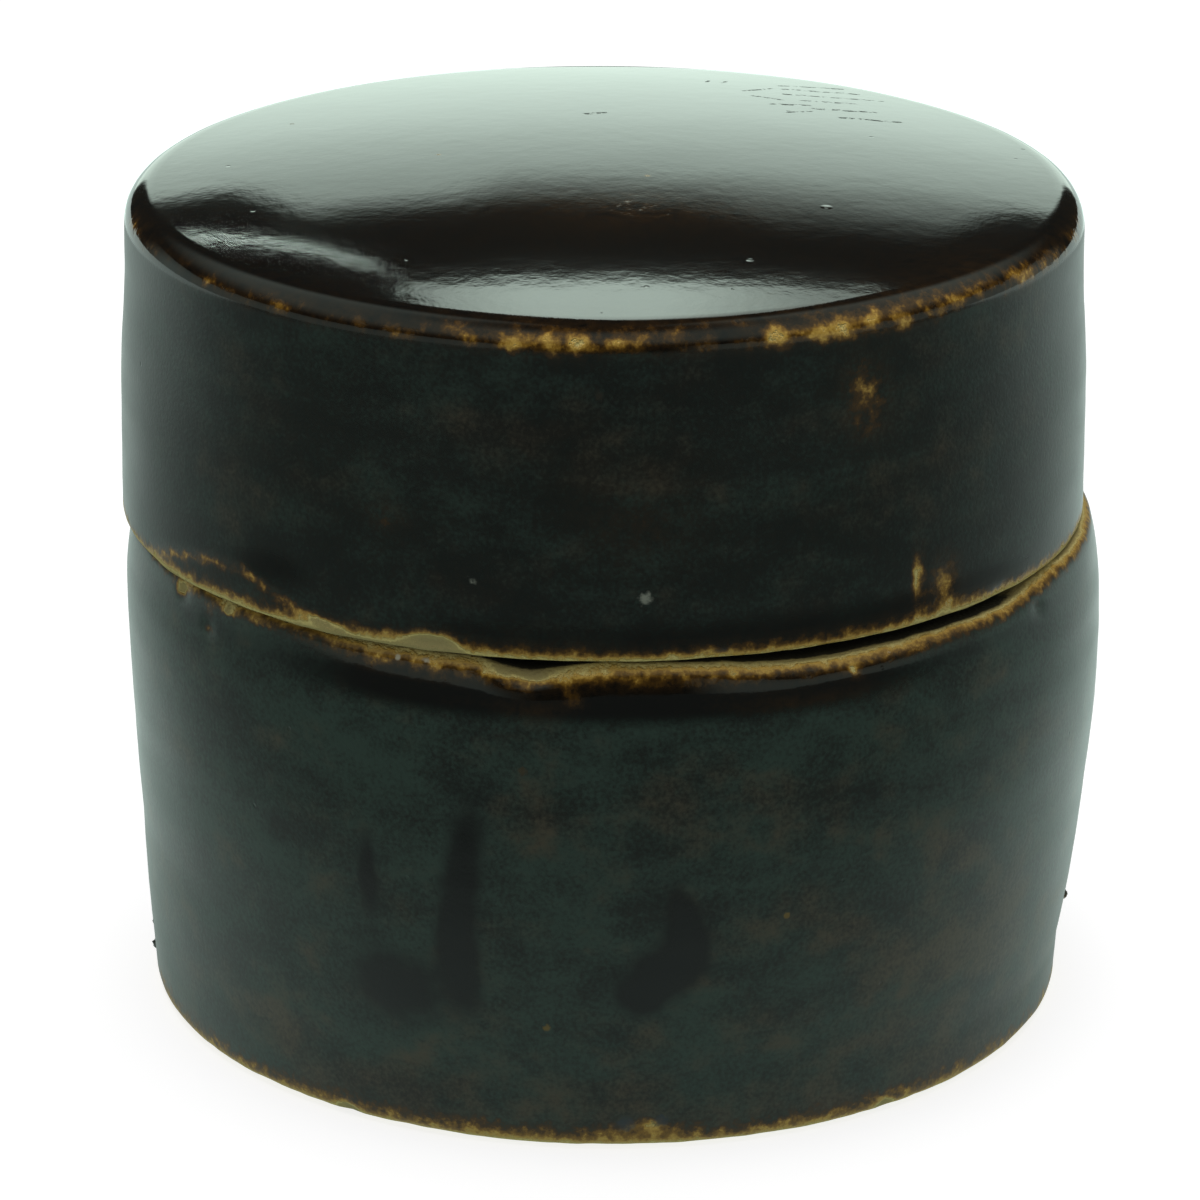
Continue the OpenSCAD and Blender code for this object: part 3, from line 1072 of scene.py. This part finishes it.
# %% Where the paper is bright in the glaze
PAPER_R = 3000
floor_bm = bmesh.new()
bmesh.ops.create_circle(floor_bm, cap_ends=True, segments=96, radius=PAPER_R)
floor = piece_from(floor_bm, "studio_floor")
paper = Finish("floor_paper")
paper_place = paper.place()
paper_axes = paper.node("ShaderNodeSeparateXYZ", {}, {0: paper_place})
depth = paper_axes.out(1)
side = paper_axes.out(0).absolute()
back = depth.step(-60, 25)
close = paper.distance(paper_place, (0, 0, 0)).step(100, 50)
right_of_pot = paper_axes.out(0).step(20, 60) * paper_axes.out(0).step(170, 90) * depth.step(-60, 40)
behind = side.step(12, 40) * side.step(115, 55) * depth.step(-10, 60) * 1.1 + right_of_pot * 0.25
far_back = back * (0.12 + close * 0.45) + depth.step(20, 130) * 0.80
mirrored = 0.10 + close * 0.27 + side.step(-12, 36) * far_back + behind
print("the paper is", 2 * PAPER_R, "mm across")

# %% The paper's three answers
PAPER_SEEN = 0.78
PAPER_EVEN = 0.42
PAPER_TINT = (0.82, 1.0, 0.93, 1)
paper_rays = paper.node("ShaderNodeLightPath")
seen = paper_rays.out("Is Camera Ray")
is_mirrored = paper_rays.out("Is Glossy Ray")
lit = paper.node("ShaderNodeBsdfDiffuse", {}, {"Color": (0.42, 0.42, 0.42, 1)}).out(0)
white = paper.node("ShaderNodeEmission", {}, {"Color": (1, 1, 1, 1), "Strength": PAPER_SEEN}).out(0)
paper_seen = paper.node("ShaderNodeAddShader", {}, {0: lit, 1: white}).out(0)
paper_light = is_mirrored * mirrored + (1 - is_mirrored) * PAPER_EVEN
paper_mirrored = paper.node("ShaderNodeEmission", {}, {"Color": PAPER_TINT, "Strength": paper_light}).out(0)
paper_shader = paper.node("ShaderNodeMixShader", {}, {0: seen, 1: paper_mirrored, 2: paper_seen}).out(0)
floor.data.materials.append(paper.finish_with(paper_shader))
print("floor nodes:", len(paper.tree.nodes))

# %% [markdown]
# The world is what the glossy crown mirrors. It is written in two angles, in degrees: `rise` above the
# horizon, and `turn` to the right of straight behind the pot. A pale backdrop behind the pot ends a
# little above it, with a slightly wavy edge. Then comes a dark gap, and above it a bright lamp panel
# whose left end is slanted. `streak` is a thin curved light that the left of the crown mirrors, and
# `around` is a dim glow from the sides and the front.

# %% Studio world: the backdrop and the walls
world = bpy.data.worlds.new("studio")
world.use_nodes = True
scene.world = world
sky = Finish(tree=world.node_tree)
view_way = sky.node("ShaderNodeTexCoord").out("Generated")
toward = sky.node("ShaderNodeSeparateXYZ", {}, {0: view_way})
rise = toward.out(2).math("ARCSINE", toward.out(2)) * (180 / math.pi)
turn = toward.out(0).math("ARCTAN2", toward.out(0), toward.out(1)) * (180 / math.pi)
wide = turn.absolute()
left_part = turn.step(-1.5, -3.5) * turn.step(-6.8, -5.8)
left_end = turn.step(-6.3, -7.5)
right_part = turn.step(1.5, 4.0) * turn.step(8.0, 7.0)
right_end = turn.step(7.4, 8.6)
edge = 18.9 + left_part * 1.3 - left_end * 2.2 + right_part * 0.6 - right_end * 0.9
softness = 5.4 - left_part * 2.0 - (left_end + right_end) * 4.2 + right_part * 2.4
low = ((rise - edge) / softness).step(0.5, -0.5) * (0.65 + rise.step(20, 8) * 0.35)
backdrop = (wide + (rise - 6) * 0.45).step(16.2, 14.4) * 1.80
other_walls = wide.step(40, 60) * wide.step(165, 150) * 0.40
wall_light = low * (backdrop + other_walls)
print("world nodes for the walls:", len(sky.tree.nodes))

# %% Studio world: the lamp panel, the streak and the sides
panel = rise.step(27.6, 28.2) * rise.step(48, 38) * (0.45 + wide.step(6.0, 1.0) * 0.50)
panel = panel * (turn + (rise - 27) * -0.35).step(-5.6, -5.0) * turn.step(7.2, 6.5)
around = wide.step(13, 30) * rise.step(22, 45) * rise.step(85, 60) * 0.45
from_end = turn + 9.1
streak_off = rise - 21.2 - from_end * (0.73 + from_end * 0.14)
streak_wide = 0.11 - from_end * 0.008
streak = (streak_off.absolute() / streak_wide).step(1.0, 0.6) * turn.step(-9.6, -9.2)
streak = streak * turn.step(-4.2, -6.0)
glossy = wall_light + panel * 3.0 + streak * 14.0 + around + 0.02
print("world nodes with the lamps:", len(sky.tree.nodes))

# %% Studio world: what each ray sees
EVEN_LIGHT = 0.30
sky_rays = sky.node("ShaderNodeLightPath")
is_seen = sky_rays.out("Is Camera Ray")
is_glossy = sky_rays.out("Is Glossy Ray")
power = is_seen * 1.0 + (1 - is_seen) * (is_glossy * glossy + (1 - is_glossy) * EVEN_LIGHT)
tint = sky.mix(is_glossy, (1, 1, 1), (0.87, 1.06, 0.94))
background = sky.node("ShaderNodeBackground", {}, {"Color": tint, "Strength": power})
sky.node("ShaderNodeOutputWorld", {}, {"Surface": background.out(0)})
print("the camera sees a white world")

# %% [markdown]
# A wide soft lamp hangs overhead and brings out the satin film. It is kept out of the reflections,
# because the crown would mirror it as a bright disk.

# %% Overhead lamp
lamp = bpy.data.lights.new("overhead_lamp", "AREA")
lamp.shape = "DISK"
lamp.size = 0.55
lamp.energy = 3.4
lamp_object = bpy.data.objects.new("overhead_lamp", lamp)
lamp_object.location = (0, 0.05, 0.75)
lamp_object.visible_glossy = False
scene.collection.objects.link(lamp_object)
print(f"the lamp is {lamp.size:.2f} m across")

# %% [markdown]
# The camera looks down at the pot from close by, so the foot's ellipse is rounder than the lid's. Its
# place is built from what it looks at, how far it looks down, a very small roll, and its distance in
# metres.

# %% Camera
camera = bpy.data.cameras.new("camera")
camera.lens = 167.7
camera.sensor_width = 36
camera_object = bpy.data.objects.new("camera", camera)
scene.collection.objects.link(camera_object)
scene.camera = camera_object
middle_z = (cad_box[0].z + cad_box[1].z) / 2 / MM
look_at = Vector((-0.7, 0, middle_z - 2.6)) * MM
look_down = math.radians(20.3)
roll = math.radians(0.27)
camera_distance = 0.396
camera_object.matrix_world = (
    Matrix.Translation(look_at)
    @ Matrix.Rotation(math.pi / 2 - look_down, 4, "X")
    @ Matrix.Rotation(roll, 4, "Z")
    @ Matrix.Translation((0, 0, camera_distance)))
scene.view_settings.view_transform = "Standard"
print(f"the camera is {camera_distance} m from the pot")

# %% [markdown]
# The box round the CAD model is printed. The visual model differs from it by the dents and the lean,
# which are less than a millimetre.

# %% Print the CAD box
print("CAD box", [tuple(round(v / MM, 2) for v in c) for c in cad_box])
